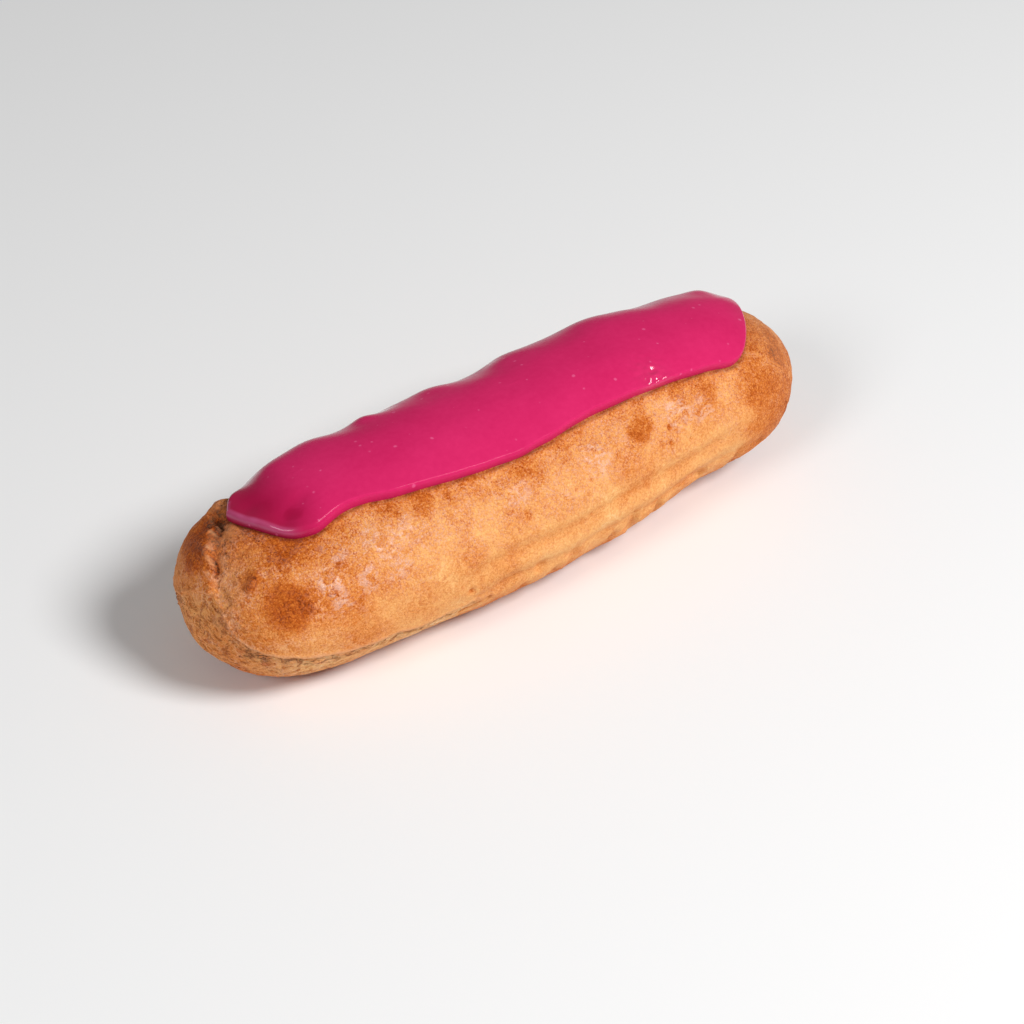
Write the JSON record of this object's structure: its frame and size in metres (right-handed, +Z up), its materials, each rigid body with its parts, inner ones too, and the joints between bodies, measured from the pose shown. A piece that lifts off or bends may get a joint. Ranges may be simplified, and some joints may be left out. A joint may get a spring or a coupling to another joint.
{
  "type": "iced eclair",
  "caption": "Long baked choux bun with a layer of glossy pink fondant icing poured along its back, resting on its flat base.",
  "frame": {"origin": "centre of the part's bounding box, at the height of the flat base that it rests on", "axes": "+X along the bun's length, towards its rounder end; +Y across; +Z up, towards the icing"},
  "size_m": [0.1398, 0.0428, 0.0369],
  "materials": {
    "crust": "baked choux crust, golden brown, fine-grained, satin to matt",
    "icing": "set pink fondant icing, smooth and glossy, with a few tiny bubbles"
  },
  "bodies": {
    "root": {"choux_bun": "crust", "icing": "icing"}
  },
  "joints": []
}
